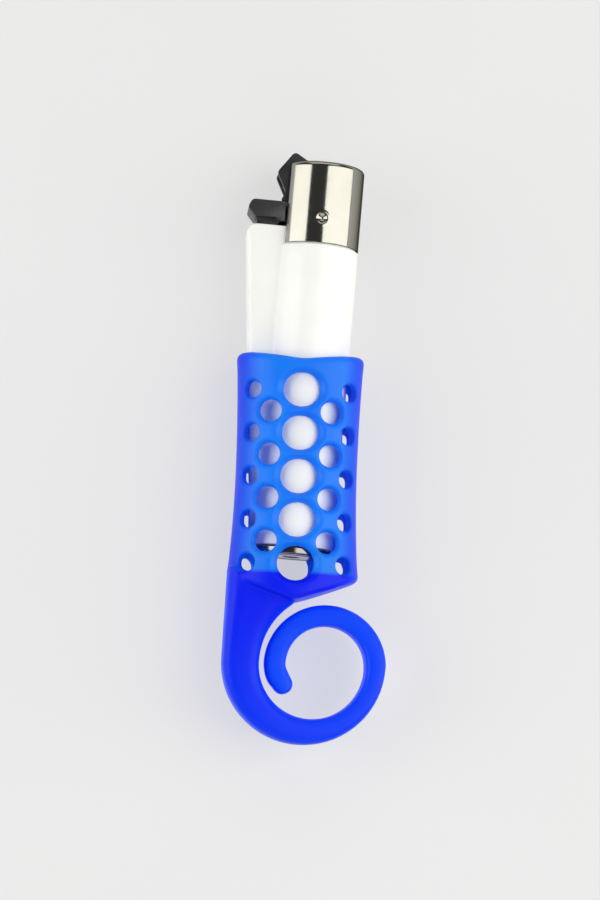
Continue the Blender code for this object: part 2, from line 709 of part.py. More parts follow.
def make_flint_system(lighter, steel):
    """The pull-out flint holder with its wheel, axle, flint, spring and end plug."""
    axis = (WELL_X, 0)
    origin = (WELL_X, 0, WHEEL_Z)
    black = make_material("holder_plastic", (0.03, 0.028, 0.032), 0.4)
    tube = turned([
        (FLINT_TUBE_BORE, FLINT_TUBE_BOTTOM), (FLINT_TUBE_RADIUS, FLINT_TUBE_BOTTOM),
        (FLINT_TUBE_RADIUS, FLINT_TUBE_TOP), (FLINT_TUBE_BORE, FLINT_TUBE_TOP),
    ], ROUND, axis)
    holder = make_object("flint_holder", tube, lighter, black, origin)
    cheek = filleted([
        (-2.6, 64.65, 0),
        (-1.7, 66.0, 0.6),
        (-1.8, 72.1, 0.6),
        (-3.4, 72.5, 1.0),
        (-5.7, 73.9, 0.8),
        (-8.6, 69.9, 0.9),
        (-6.7, 66.2, 1.4),
        (-7.6, 64.65, 0.25),
    ], steps=4)
    cheeks = bmesh.new()
    add_prism(cheeks, cheek, -CHEEK_OUTER, -CHEEK_INNER)
    add_prism(cheeks, cheek, CHEEK_INNER, CHEEK_OUTER)
    fuse(holder, "cheek_shapes", cheeks, lighter, origin)
    bore = prism(circle((WELL_X, WHEEL_Z), AXLE_BORE, 20), -4, 4)
    cut(holder, "axle_holes", bore, lighter, origin)

    wheel = bmesh.new()
    count = 2 * WHEEL_TEETH
    rings = []
    for tip, root, y in (
        (AXLE_BORE, AXLE_BORE, -WHEEL_HALF_WIDTH),
        (WHEEL_RADIUS, WHEEL_ROOT_RADIUS, -WHEEL_HALF_WIDTH),
        (WHEEL_RADIUS, WHEEL_ROOT_RADIUS, WHEEL_HALF_WIDTH),
        (AXLE_BORE, AXLE_BORE, WHEEL_HALF_WIDTH),
    ):
        ring = []
        for i in range(count):
            x, z = arc_point((WELL_X, WHEEL_Z), root if i % 2 else tip, 360 * i / count)
            ring.append((x, y, z))
        rings.append(ring)
    add_loft(wheel, rings, closed=True)
    tool_steel = make_material("wheel_steel", (0.30, 0.29, 0.28), 0.4, 1.0)
    make_object("spark_wheel", wheel, lighter, tool_steel, origin)
    axle = prism(circle((WELL_X, WHEEL_Z), AXLE_RADIUS, 20), -CHEEK_OUTER + 0.05, CHEEK_OUTER - 0.05)
    make_object("wheel_axle", axle, lighter, steel, origin)

    ferro = make_material("ferrocerium", (0.20, 0.19, 0.18), 0.6, 1.0)
    bottom = FLINT_TOP - FLINT_LENGTH
    outline = [(0, bottom), (FLINT_RADIUS, bottom), (FLINT_RADIUS, FLINT_TOP), (0, FLINT_TOP)]
    flint = turned(outline, ROUND, axis)
    make_object("flint", flint, lighter, ferro, origin)
    spring = coil(0.95, 0.16, TUBE_PLUG_TOP + GAP, bottom - GAP, 16, WELL_X)
    make_object("flint_spring", spring, lighter, steel, origin)
    flange = FLINT_TUBE_RADIUS - 0.1
    neck = FLINT_RADIUS - 0.05
    plug = turned([
        (0, TUBE_PLUG_BOTTOM),
        (flange, TUBE_PLUG_BOTTOM),
        (flange, FLINT_TUBE_BOTTOM - GAP),
        (neck, FLINT_TUBE_BOTTOM - GAP),
        (neck, TUBE_PLUG_TOP),
        (0, TUBE_PLUG_TOP),
    ], ROUND, axis)
    make_object("flint_tube_plug", plug, lighter, black, origin)


def centre_on_back(assembly):
    """Moves the laid-down object so that its box is centred in X and Y and its back is at z = 0."""
    bpy.context.view_layer.update()
    depsgraph = bpy.context.evaluated_depsgraph_get()
    points = []
    for obj in bpy.context.scene.objects:
        if obj.type != "MESH" or obj.hide_render:
            continue
        evaluated = obj.evaluated_get(depsgraph)
        points += [evaluated.matrix_world @ vertex.co for vertex in evaluated.data.vertices]
    low = [min(point[i] for point in points) for i in range(3)]
    high = [max(point[i] for point in points) for i in range(3)]
    assembly.location = (-(low[0] + high[0]) / 2, -(low[1] + high[1]) / 2, -low[2])
    bpy.context.view_layer.update()


def main():
    clear_scene()
    assembly = make_empty("assembly", rotation=(math.radians(-90), 0, 0))
    lighter = make_empty("lighter_frame", assembly, LIGHTER_SEAT, (0, LIGHTER_LEAN, 0))
    make_sleeve(assembly)
    make_tank(lighter)
    make_base(lighter)
    brass, rubber, steel = make_refill_valve(lighter)
    make_burner_valve(lighter, brass, rubber, steel)
    make_lever(lighter)
    make_hood(lighter)
    make_flint_system(lighter, steel)
    centre_on_back(assembly)


main()
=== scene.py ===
"""Looks of the refillable flint lighter and its hooked blue sleeve.

Pieces are modelled in millimetres in two standing frames, the sleeve's and the leaning lighter's: X to
the hood's back, Y away from the front face, Z towards the flame. A matrix lays each piece on its back.
"""
import json
import math

import bmesh
import bpy
from mathutils import Matrix, Vector


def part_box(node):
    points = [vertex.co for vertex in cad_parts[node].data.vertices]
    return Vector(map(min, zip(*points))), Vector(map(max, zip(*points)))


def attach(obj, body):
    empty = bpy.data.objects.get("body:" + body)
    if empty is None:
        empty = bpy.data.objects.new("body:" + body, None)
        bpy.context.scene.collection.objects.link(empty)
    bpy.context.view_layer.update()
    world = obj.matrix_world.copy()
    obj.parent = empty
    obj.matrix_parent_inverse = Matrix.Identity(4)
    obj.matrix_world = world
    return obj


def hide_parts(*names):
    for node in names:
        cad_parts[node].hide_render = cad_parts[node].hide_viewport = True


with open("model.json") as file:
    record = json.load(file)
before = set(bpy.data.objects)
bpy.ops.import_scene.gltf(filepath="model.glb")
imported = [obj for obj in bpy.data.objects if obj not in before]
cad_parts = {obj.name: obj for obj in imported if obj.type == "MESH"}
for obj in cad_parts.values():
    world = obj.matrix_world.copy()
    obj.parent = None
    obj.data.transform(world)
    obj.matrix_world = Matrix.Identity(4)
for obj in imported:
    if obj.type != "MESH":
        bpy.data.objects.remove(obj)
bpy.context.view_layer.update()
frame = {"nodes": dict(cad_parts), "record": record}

TURN = 2 * math.pi
MM = 0.001

# Sleeve
SLEEVE_HALF_DEPTH = 9.4
FOOT_HALF_WIDTH = 11.8
WAIST_HALF_WIDTH = 11.0
RIM_HALF_WIDTH = 11.6
WAIST_HEIGHT = 19.0
RIM_SIDE = 40.0
RIM_MIDDLE = 38.4
FOOT_SIDE = -0.95
FOOT_MIDDLE = -5.05
V_ROUNDING = 0.8  # how far from the middle the V of rim and foot is rounded, and what that takes off
V_ROUNDING_DROP = 0.5
SLEEVE_WALL = 1.45
CAVITY_HALF_DEPTH = 7.7
OUTER_SQUARENESS = 2.3
CAVITY_SQUARENESS = 2.5
RIM_ROUNDING = 1.2
FOOT_ROUNDING = 0.8
SLEEVE_SIDES = 176
SLEEVE_LEVELS = 26
SLEEVE_VOXEL = 0.28

# Holes of the sleeve
HOLE_PITCH = 7.82
FOOT_BORE_HEIGHT = 1.45  # the lowest hole of the middle column, which also crosses the foot
FOOT_BORE_RADIUS = 3.03
# Half width, half height, distance from the middle, lean in degrees, lowest height, rows, then the dish
# around the hole: half width, half height, how deep it reaches
HOLE_GROUPS = (
    (3.25, 3.05, 0.0, 0, FOOT_BORE_HEIGHT, 5, 5.3, 3.85, 1.35),
    (2.05, 1.95, 5.8, 20, 5.3, 4, 2.65, 2.5, 1.0),
    (1.75, 1.5, 9.0, 37, 1.4, 5, 2.15, 1.85, 0.8),
)
# Share of the dish's depth and of its flare, from the bottom of the dish outwards
DISH_PROFILE = ((0.0, 0.0), (0.2, 0.15), (0.5, 0.45), (0.8, 0.78), (1.0, 1.0))
PUNCH_INSIDE = 3.0
PUNCH_OUTSIDE = 2.5
PUNCH_FLARE = 1.02
HOLE_SIDES = 40

# Colours of the sleeve, and between which distances in millimetres one gives way to the next
SHELL_BLUE = (0.006, 0.26, 1.0)
SHELL_BLUE_PALE = (0.008, 0.31, 1.0)
# Painted shade: the shell's sides are painted this deeper blue, standing in for the darker look where the
# wall is seen edge-on without the white barrel behind it
SHELL_SIDE_SHADE_BLUE = (0.0, 0.012, 0.90)
HOOK_THIN_BLUE = (0.003, 0.09, 1.0)
HOOK_THICK_BLUE = (0.002, 0.012, 0.90)
HOOK_COLOUR_DEPTHS = (2.4, 6.2)
# Distances from the axis where the painted shade at the shell's sides sets in and where it is full
SIDE_SHADE_REACHES = (7.5, 11.6)
FOOT_COLOUR_HEIGHTS = (0.2, -0.5)
SHELL_TRANSMISSION = 0.42
HOOK_TRANSMISSION = 0.25
# Painted glow: a faint emission that stands in for light scattered about inside the coloured plastic
PAINTED_GLOW_COLOUR = (0.0, 0.06, 1.0)
PAINTED_GLOW_STRENGTH = 0.06
PLASTIC_DENSITY = 300.0

# Hook: how far it reaches, ends of the stem's outer edge, then centres and radii of the curled edges
HOOK_REACH = 17.45
HOOK_BOTTOM = -30.7
STEM_ROOT = ((-11.75, 0.9), (1.2, -3.4))
STEM_OUTER_TOP = (-11.85, -2.0)
STEM_OUTER_BOTTOM = (-12.2, -15.9)
STEM_INNER_CENTRE = (7.7, -16.4)
STEM_INNER_RADIUS = 13.2
CURL_OUTER_CENTRE = (2.6, -15.9)
CURL_OUTER_RADIUS = 14.8
CURL_INNER_CENTRE = (4.1, -16.4)
CURL_INNER_RADIUS = 9.6
TAIL_OUTER_CENTRE = (6.45, -16.4)
TAIL_OUTER_RADIUS = 11.0
TAIL_INNER_CENTRE = (6.5, -16.4)
TAIL_INNER_RADIUS = 7.15
TIP_OUTER_CENTRE = (2.2, -16.4)
TIP_OUTER_RADIUS = 6.7
TIP_CENTRE = (-1.05, -19.9)
TIP_RADIUS = 1.85
HOOK_SQUARENESS = 4.6
HOOK_HALF_DEPTHS = (6.6, 5.2, 4.2, 3.4, 2.8, 2.4)

# Lighter
BARREL_RADIUS = 7.5
BASE_CAP_TOP = 1.25
BARREL_FOOT = 1.55
BARREL_TOP = 56.45
BARREL_SIDES = 288
SPIGOT_RADIUS = 6.95
SPIGOT_TOP = 59.6
RIB_FOOT = 3.0
RIB_SHOULDER = 58.2
RIB_TOP = 59.9
RIB_FOOT_REACH = 7.8
RIB_SHOULDER_REACH = 13.2
RIB_TOP_REACH = 12.3
RIB_SHOULDER_CURVE = 1.6  # 1 would be a straight chamfer
RIB_FOOT_HALF_WIDTH = 1.2
RIB_HALF_WIDTH = 3.6
RIB_WIDENING_HEIGHT = 30.0
RIB_CORNER = 0.9
RIB_INNER_END = -5.0
RIB_FILLET_FOOT = 1.6
RIB_FILLET_SHOULDER = 0.3
RIB_FILLET_FULLNESS = 0.25
POCKET = (-11.85, 58.1, -7.5, 61.0)
POCKET_HALF_WIDTH = 3.0
BASE_BORE = 1.5
MOUTH_RADIUS = 6.4
MOUTH_TOP = 11.0
RESERVOIR_X = 2.3
RESERVOIR_RADIUS = 3.2
RESERVOIR_TOP = 52.0
EAR_INNER = 4.4
EAR_OUTER = 5.6
TRUNNION_RADIUS = 0.6
TRUNNION_BORE = 0.7
PIVOT = (-3.0, 60.8)
LEVER_GROOVES = 5
LEVER_GROOVE_START = -12.1
LEVER_GROOVE_PITCH = 0.9

# Flint tube, wheel and jet
WELL_X = -4.6
WELL_RADIUS = 2.65
WELL_FLOOR = 14.0
FLINT_TUBE_BORE = 1.35
FLINT_TUBE_RADIUS = 2.4
FLINT_TUBE_BOTTOM = 18.0
FLINT_TUBE_TOP = 65.3
CHEEK_INNER = 1.85
CHEEK_OUTER = 3.0
AXLE_BORE = 0.7
WHEEL_Z = 68.8
WHEEL_TEETH = 30
WHEEL_TOOTH_RADII = (2.6, 2.73, 2.85, 2.8)
WHEEL_HALF_WIDTH = 1.55
WHEEL_CROWN = -0.12
WHEEL_SLANT = 0.6
JET_X = 2.0
VALVE_HOLE_RADIUS = 2.0
BORE_TOP = 64.0  # above everything that is bored from above

# Hood
HOOD_BOTTOM = 56.75
HOOD_TOP = 71.8
HOOD_THICKNESS = 0.35
HOOD_ROLL = 0.8
HOOD_CUT_X = -6.2
DIMPLE_Z = 61.2
DIMPLE_RADIUS = 1.15
DIMPLE_DEPTH = 0.55
DIMPLE_LIP = 0.05
DIMPLE_EDGE = 0.8  # in dimple radii, as is the lip's outer edge
DIMPLE_LIP_EDGE = 1.3
# Painted shade in the hood's reflection: this dark tint at grazing angles stands in for dark surroundings
# mirrored at its edges
HOOD_RIM_SHADE_TINT = (0.16, 0.15, 0.13)

# Studio
SOFTBOX_DISTANCE = 0.8
SOFTBOX_TINT = (1.0, 0.985, 0.95)
# Name, degrees from overhead to the right and to the flame end, length, width, radiance
SOFTBOXES = (
    ("left_softbox", -70, 0, 0.62, 1.0, 3.0),
    ("right_softbox", 48, 0, 0.58, 1.3, 3.0),
    ("flame_end_softbox", 0, 58, 1.0, 0.5, 1.2),
    ("hook_end_softbox", 0, -58, 1.0, 0.5, 1.2),
)
FLOOR_GLOW = 0.55

# View
CAMERA_DISTANCE = 0.54
CAMERA_LENS = 119.3
CAMERA_LEFT = math.radians(3.3)
CAMERA_BELOW = math.radians(6.4)
CAMERA_ROLL = math.radians(2.2)
AIM_RIGHT = 0.0014
AIM_UP = 0.0225


def sleeve_frame():
    """Row-frame matrix of the sleeve's own frame, whose origin is on its axis at the cavity floor."""
    low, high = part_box("sleeve")
    origin = Vector((high[0] - HOOK_REACH * MM, low[1] - HOOK_BOTTOM * MM, (low[2] + high[2]) / 2))
    return Matrix((
        (MM, 0, 0, origin.x),
        (0, 0, MM, origin.y),
        (0, -MM, 0, origin.z),
        (0, 0, 0, 1),
    ))


def joint_named(name):
    return next(joint for joint in frame["record"]["behaviour"]["joints"] if joint["name"] == name)


def lighter_frame():
    """Row-frame matrix of the leaning lighter's own frame, whose origin is the middle of its base."""
    up = Vector(joint_named("lighter_slide")["axis"])
    across = Vector((up.y, -up.x, 0))
    away = Vector((0, 0, -1))
    wheel_axis = Vector(joint_named("wheel_spin")["pos_m"])
    origin = wheel_axis - across * WELL_X * MM - up * WHEEL_Z * MM
    matrix = Matrix.Identity(4)
    for column, axis in enumerate((across, away, up)):
        matrix.col[column] = (*(axis * MM), 0)
    matrix.col[3] = (*origin, 1)
    return matrix


IN_SLEEVE = sleeve_frame()
IN_LIGHTER = lighter_frame()


# ---- mesh helpers ----

def add_loft(bm, rings, closed=False, capped=True):
    """Joins rings of equally many points with quads, capped at both ends or closed into a loop."""
    loops = [[bm.verts.new(point) for point in ring] for ring in rings]
    count = len(rings[0])
    pairs = list(zip(loops, loops[1:]))
    if closed:
        pairs.append((loops[-1], loops[0]))
    elif capped:
        bm.faces.new(loops[0])
        bm.faces.new(loops[-1])
    for low, high in pairs:
        for i in range(count):
            j = (i + 1) % count
            bm.faces.new((low[i], low[j], high[j], high[i]))
    return loops


def turned(profile, sides=96, centre=(0.0, 0.0)):
    """Spins a closed outline of (radius, height) points about a vertical axis; radius 0 makes a pole."""
    bm = bmesh.new()
    rings = []
    for radius, height in profile:
        count = sides if radius else 1
        ring = []
        for i in range(count):
            x, y = arc_point(centre, radius, 360 * i / sides)
            ring.append(bm.verts.new((x, y, height)))
        rings.append(ring)
    for low, high in zip(rings, rings[1:] + rings[:1]):
        if len(low) == 1 and len(high) == 1:
            continue
        for i in range(sides):
            j = (i + 1) % sides
            corners = [low[i % len(low)], low[j % len(low)], high[j % len(high)], high[i % len(high)]]
            bm.faces.new(list(dict.fromkeys(corners)))
    return bm


def prism(outline, near, far):
    """Extrudes an outline of (x, z) points along Y."""
    bm = bmesh.new()
    add_loft(bm, [[(x, y, z) for x, z in outline] for y in (near, far)])
    return bm


def rectangle(left, bottom, right, top):
    return [(left, bottom), (right, bottom), (right, top), (left, top)]


def arc_point(centre, radius, degrees):
    angle = math.radians(degrees)
    return (centre[0] + radius * math.cos(angle), centre[1] + radius * math.sin(angle))


def circle(centre, radius, sides=48):
    return [arc_point(centre, radius, 360 * i / sides) for i in range(sides)]


def filleted(corners, steps=6):
    """Rounds each (x, z, radius) corner of an outline with an arc."""
    outline = []
    count = len(corners)
    for i, (x, z, radius) in enumerate(corners):
        if radius == 0:
            outline.append((x, z))
            continue
        corner = Vector((x, z))
        before = (Vector(corners[i - 1][:2]) - corner).normalized()
        after = (Vector(corners[(i + 1) % count][:2]) - corner).normalized()
        half = before.angle(after) / 2
        centre = corner + (before + after).normalized() * radius / math.sin(half)
        start = corner + before * radius / math.tan(half) - centre
        end = corner + after * radius / math.tan(half) - centre
        first = math.atan2(start.y, start.x)
        sweep = (math.atan2(end.y, end.x) - first + math.pi) % TURN - math.pi
        for step in range(steps + 1):
            angle = first + sweep * step / steps
            outline.append((centre.x + radius * math.cos(angle), centre.y + radius * math.sin(angle)))
    return outline


def superellipse(half_width, half_depth, squareness, sides):
    """Points of a rounded rectangle."""
    points = []
    for i in range(sides):
        angle = TURN * i / sides
        across = math.cos(angle)
        away = math.sin(angle)
        x = math.copysign(abs(across) ** (2 / squareness), across) * half_width
        y = math.copysign(abs(away) ** (2 / squareness), away) * half_depth
        points.append((x, y))
    return points


def make_object(name, bm):
    bmesh.ops.recalc_face_normals(bm, faces=bm.faces)
    mesh = bpy.data.meshes.new(name)
    bm.to_mesh(mesh)
    bm.free()
    obj = bpy.data.objects.new(name, mesh)
    bpy.context.scene.collection.objects.link(obj)
    return obj


def boolean(target, bm, operation):
    """Adds an exact boolean and returns its tool, which bake_modifiers deletes."""
    tool = make_object(target.name + "_tool", bm)
    modifier = target.modifiers.new(operation, "BOOLEAN")
    modifier.operation = operation
    modifier.solver = "EXACT"
    modifier.object = tool
    return tool


def bake_modifiers(obj, tools=()):
    """Replaces the mesh by its evaluated shape and deletes the boolean tools."""
    bpy.context.view_layer.update()
    depsgraph = bpy.context.evaluated_depsgraph_get()
    mesh = bpy.data.meshes.new_from_object(obj.evaluated_get(depsgraph))
    obj.modifiers.clear()
    obj.data = mesh
    for tool in tools:
        bpy.data.objects.remove(tool, do_unlink=True)


def add_bevel(obj, width, segments, angle):
    modifier = obj.modifiers.new("soft_edges", "BEVEL")
    modifier.width = width
    modifier.segments = segments
    modifier.limit_method = "ANGLE"
    modifier.angle_limit = math.radians(angle)
    modifier.harden_normals = False


def finish_piece(obj, matrix, material, body, slot, *nodes, smooth_angle=40):
    """Lays the piece in place with its looks, and says which body it rides on and what it replaces."""
    obj.data.transform(matrix)
    obj.data.materials.clear()
    obj.data.materials.append(material)
    obj.data.shade_smooth()
    obj.data.set_sharp_from_angle(angle=math.radians(smooth_angle))
    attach(obj, body)
    if nodes:
        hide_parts(*nodes)
    return obj


# ---- materials ----

def new_material(name):
    """A new material with its node tree and its shader."""
    material = bpy.data.materials.new(name)
    material.use_nodes = True
    tree = material.node_tree
    return material, tree, tree.nodes["Principled BSDF"]


def add_node(tree, kind, **values):
    """Adds a shader node; each value goes to the input of that name, or else to the setting."""
    node = tree.nodes.new(kind)
    for name, value in values.items():
        if name in node.inputs:
            node.inputs[name].default_value = value
        else:
            setattr(node, name, value)
    return node


def share_between(tree, value, start, end, low=0.0, high=1.0):
    """Runs from low to high as the value runs from start to end."""
    share = add_node(tree, "ShaderNodeMapRange")
    share.inputs["From Min"].default_value = start
    share.inputs["From Max"].default_value = end
    share.inputs["To Min"].default_value = low
    share.inputs["To Max"].default_value = high
    tree.links.new(value, share.inputs["Value"])
    return share.outputs["Result"]


def noise_between(tree, scale, low, high, detail=4.0, stretch=None):
    """A value that wanders between low and high over the surface."""
    coordinates = add_node(tree, "ShaderNodeTexCoord")
    source = coordinates.outputs["Object"]
    if stretch:
        mapping = add_node(tree, "ShaderNodeMapping")
        mapping.inputs["Scale"].default_value = stretch
        tree.links.new(source, mapping.inputs["Vector"])
        source = mapping.outputs["Vector"]
    noise = add_node(tree, "ShaderNodeTexNoise", Scale=scale, Detail=detail)
    tree.links.new(source, noise.inputs["Vector"])
    return share_between(tree, noise.outputs["Fac"], 0.3, 0.7, low, high)


def add_bump(tree, shader, scale, distance, strength, stretch=None):
    height = noise_between(tree, scale, 0.0, 1.0, 3.0, stretch)
    bump = add_node(tree, "ShaderNodeBump", Strength=strength, Distance=distance)
    tree.links.new(height, bump.inputs["Height"])
    tree.links.new(bump.outputs["Normal"], shader.inputs["Normal"])


def mixed_colour(tree, share, first, second):
    """First to second as share runs from 0 to 1; each colour is a triple or another node's output."""
    mix = add_node(tree, "ShaderNodeMix", data_type="RGBA")
    tree.links.new(share, mix.inputs["Factor"])
    colours = [socket for socket in mix.inputs if socket.type == "RGBA"]
    for socket, colour in zip(colours, (first, second)):
        if isinstance(colour, tuple):
            socket.default_value = (*colour, 1)
        else:
            tree.links.new(colour, socket)
    return next(socket for socket in mix.outputs if socket.type == "RGBA")


def vary_colour(tree, shader, first, second, scale):
    share = noise_between(tree, scale, 0.0, 1.0)
    tree.links.new(mixed_colour(tree, share, first, second), shader.inputs["Base Color"])


def offset_from(tree, value, middle):
    """Distance of a coordinate from a given level, without its sign."""
    offset = add_node(tree, "ShaderNodeMath", operation="SUBTRACT")
    offset.inputs[1].default_value = middle
    tree.links.new(value, offset.inputs[0])
    size = add_node(tree, "ShaderNodeMath", operation="ABSOLUTE")
    tree.links.new(offset.outputs["Value"], size.inputs[0])
    return size.outputs["Value"]


def sleeve_plastic():
    """Translucent blue with painted light: painted shade makes the shell's sides deeper where the wall is
    seen edge-on without the white barrel behind it, a faint painted glow stands in for light scattered
    inside, and the hook is deeper still where it is thick.
    """
    material, tree, shader = new_material("sleeve_blue")
    coordinates = add_node(tree, "ShaderNodeTexCoord")
    place = add_node(tree, "ShaderNodeSeparateXYZ")
    tree.links.new(coordinates.outputs["Object"], place.inputs["Vector"])
    axis = IN_SLEEVE.translation
    depth = offset_from(tree, place.outputs["Z"], axis.z)
    thick = share_between(tree, depth, *(value * MM for value in HOOK_COLOUR_DEPTHS))
    # Painted shade: the shell turns a deeper blue towards its sides
    reach = offset_from(tree, place.outputs["X"], axis.x)
    side = share_between(tree, reach, *(value * MM for value in SIDE_SHADE_REACHES))
    foot = [axis.y + height * MM for height in FOOT_COLOUR_HEIGHTS]
    below = share_between(tree, place.outputs["Y"], *foot)
    hook_colour = mixed_colour(tree, thick, HOOK_THIN_BLUE, HOOK_THICK_BLUE)
    face_colour = mixed_colour(tree, noise_between(tree, 90, 0.0, 1.0), SHELL_BLUE, SHELL_BLUE_PALE)
    shaded_shell_colour = mixed_colour(tree, side, face_colour, SHELL_SIDE_SHADE_BLUE)
    colour = mixed_colour(tree, below, shaded_shell_colour, hook_colour)
    tree.links.new(colour, shader.inputs["Base Color"])
    clear = share_between(tree, below, 0, 1, SHELL_TRANSMISSION, HOOK_TRANSMISSION)
    tree.links.new(clear, shader.inputs["Transmission Weight"])
    # Painted glow: the plastic gives off a little blue light of its own
    shader.inputs["Emission Color"].default_value = (*PAINTED_GLOW_COLOUR, 1)
    shader.inputs["Emission Strength"].default_value = PAINTED_GLOW_STRENGTH
    shader.inputs["IOR"].default_value = 1.46
    shader.inputs["Specular IOR Level"].default_value = 0.05
    tree.links.new(noise_between(tree, 220, 0.36, 0.44), shader.inputs["Roughness"])
    absorption = add_node(tree, "ShaderNodeVolumeAbsorption", Density=PLASTIC_DENSITY)
    absorption.inputs["Color"].default_value = (0.0, 0.6, 1.0, 1)
    output = tree.nodes["Material Output"]
    tree.links.new(absorption.outputs["Volume"], output.inputs["Volume"])
    return material


def plastic(name, first, second, roughness, grain, depth, subsurface=0.0):
    """Moulded plastic: two close colours, a range of roughness, and a fine grain of the given depth."""
    material, tree, shader = new_material(name)
    vary_colour(tree, shader, first, second, 120)
    tree.links.new(noise_between(tree, 400, *roughness), shader.inputs["Roughness"])
    shader.inputs["Subsurface Weight"].default_value = subsurface
    shader.inputs["Subsurface Radius"].default_value = (0.0012, 0.0012, 0.001)
    add_bump(tree, shader, grain, depth, 0.5)
    return material


def metal(name, first, second, roughness, grain, depth, stretch=(1, 1, 1), rim=(1, 1, 1)):
    """A metal whose grain can be stretched, and whose reflection takes the rim tint at grazing angles; a
    dark rim tint is painted shade in the reflection.
    """
    material, tree, shader = new_material(name)
    shader.inputs["Metallic"].default_value = 1.0
    shader.inputs["Specular Tint"].default_value = (*rim, 1)
    vary_colour(tree, shader, first, second, 150)
    tree.links.new(noise_between(tree, 500, *roughness), shader.inputs["Roughness"])
    add_bump(tree, shader, grain, depth, 0.4, stretch)
    return material


BLUE = sleeve_plastic()
NYLON = plastic(
    "barrel_white", (0.90, 0.91, 0.89), (0.93, 0.94, 0.92),
    roughness=(0.28, 0.40), grain=900, depth=0.00002, subsurface=0.15,
)
BLACK = plastic(
    "moulded_black", (0.016, 0.015, 0.018), (0.030, 0.028, 0.032),
    roughness=(0.32, 0.46), grain=2600, depth=0.00003,
)
RUBBER = plastic(
    "seal_black", (0.02, 0.02, 0.02), (0.03, 0.03, 0.03),
    roughness=(0.6, 0.75), grain=1500, depth=0.00004,
)
FELT = plastic(
    "filter_fibre", (0.70, 0.67, 0.58), (0.80, 0.77, 0.68),
    roughness=(0.85, 0.95), grain=3000, depth=0.0001,
)
# The hood's plating carries painted shade: its reflection darkens at grazing angles
CHROME = metal(
    "hood_plating", (0.31, 0.305, 0.27), (0.33, 0.325, 0.29),
    roughness=(0.11, 0.15), grain=300, depth=0.00001, stretch=(1, 0.12, 1), rim=HOOD_RIM_SHADE_TINT,
)
DARK_CHROME = metal(
    "base_plating", (0.20, 0.19, 0.19), (0.26, 0.25, 0.25),
    roughness=(0.12, 0.22), grain=700, depth=0.00001,
)
BRASS = metal(
    "turned_brass", (0.78, 0.60, 0.28), (0.84, 0.67, 0.34),
    roughness=(0.22, 0.34), grain=1200, depth=0.00001, stretch=(1, 8, 1),
)
STEEL = metal(
    "drawn_steel", (0.55, 0.55, 0.57), (0.64, 0.64, 0.66),
    roughness=(0.22, 0.34), grain=1500, depth=0.00001,
)
TOOL_STEEL = metal(
    "wheel_steel_dark", (0.16, 0.155, 0.15), (0.34, 0.33, 0.32),
    roughness=(0.32, 0.55), grain=1800, depth=0.00005,
)
FERRO = metal(
    "ferro_rod", (0.15, 0.14, 0.13), (0.24, 0.23, 0.22),
    roughness=(0.5, 0.7), grain=2200, depth=0.00006,
)

SLOT_MATERIALS = {
    "sleeve_plastic": BLUE,
    "barrel_nylon": NYLON,
    "plug_nylon": NYLON,
    "lever_plastic": BLACK,
    "holder_plastic": BLACK,
    "collar_plastic": BLACK,
    "seal_rubber": RUBBER,
    "filter_felt": FELT,
    "hood_chrome": CHROME,
    "base_metal": DARK_CHROME,
    "valve_brass": BRASS,
    "jet_brass": BRASS,
    "spring_steel": STEEL,
    "wheel_steel": TOOL_STEEL,
    "ferrocerium": FERRO,
}


def finish_cad_nodes():
    """Gives every carried-over CAD node the detailed material of its record slot."""
    for entry in frame["record"]["subparts"]:
        node = frame["nodes"][entry["node"]]
        node.data.materials.clear()
        node.data.materials.append(SLOT_MATERIALS[entry["material_slot"]])


# ---- sleeve with its hook ----

def sleeve_half_width(height):
    """Outer half-width of the sleeve, which narrows to a waist."""
    if height < WAIST_HEIGHT:
        flare = FOOT_HALF_WIDTH - WAIST_HALF_WIDTH
        share = (WAIST_HEIGHT - height) / WAIST_HEIGHT
    else:
        flare = RIM_HALF_WIDTH - WAIST_HALF_WIDTH
        share = (height - WAIST_HEIGHT) / (RIM_SIDE - WAIST_HEIGHT)
    return WAIST_HALF_WIDTH + flare * share ** 2


def edge_height(x, middle, side):
    """Height of the V-shaped rim or foot, with the point of the V slightly rounded."""
    reach = math.hypot(x, V_ROUNDING) - V_ROUNDING_DROP
    return middle + (side - middle) * reach / FOOT_HALF_WIDTH


def sleeve_ring(share, inset, rise, half_depth, squareness, low):
    """A ring a share of the way up the wall, moved in by inset and up by rise."""
    low_middle, low_side = low
    level = low_side + (RIM_SIDE - low_side) * share
    half_width = sleeve_half_width(level) - inset
    ring = []
    for x, y in superellipse(half_width, half_depth - inset, squareness, SLEEVE_SIDES):
        bottom = edge_height(x, low_middle, low_side) if low_middle != low_side else low_side
        top = edge_height(x, RIM_MIDDLE, RIM_SIDE)
        ring.append((x, y, bottom + (top - bottom) * share + rise))
    return ring


def outer_ring(share, inset=0.0, rise=0.0):
    return sleeve_ring(share, inset, rise, SLEEVE_HALF_DEPTH, OUTER_SQUARENESS, (FOOT_MIDDLE, FOOT_SIDE))


def cavity_ring(share):
    half_depth = CAVITY_HALF_DEPTH + SLEEVE_WALL
    return sleeve_ring(share, SLEEVE_WALL, 0.0, half_depth, CAVITY_SQUARENESS, (0.0, 0.0))


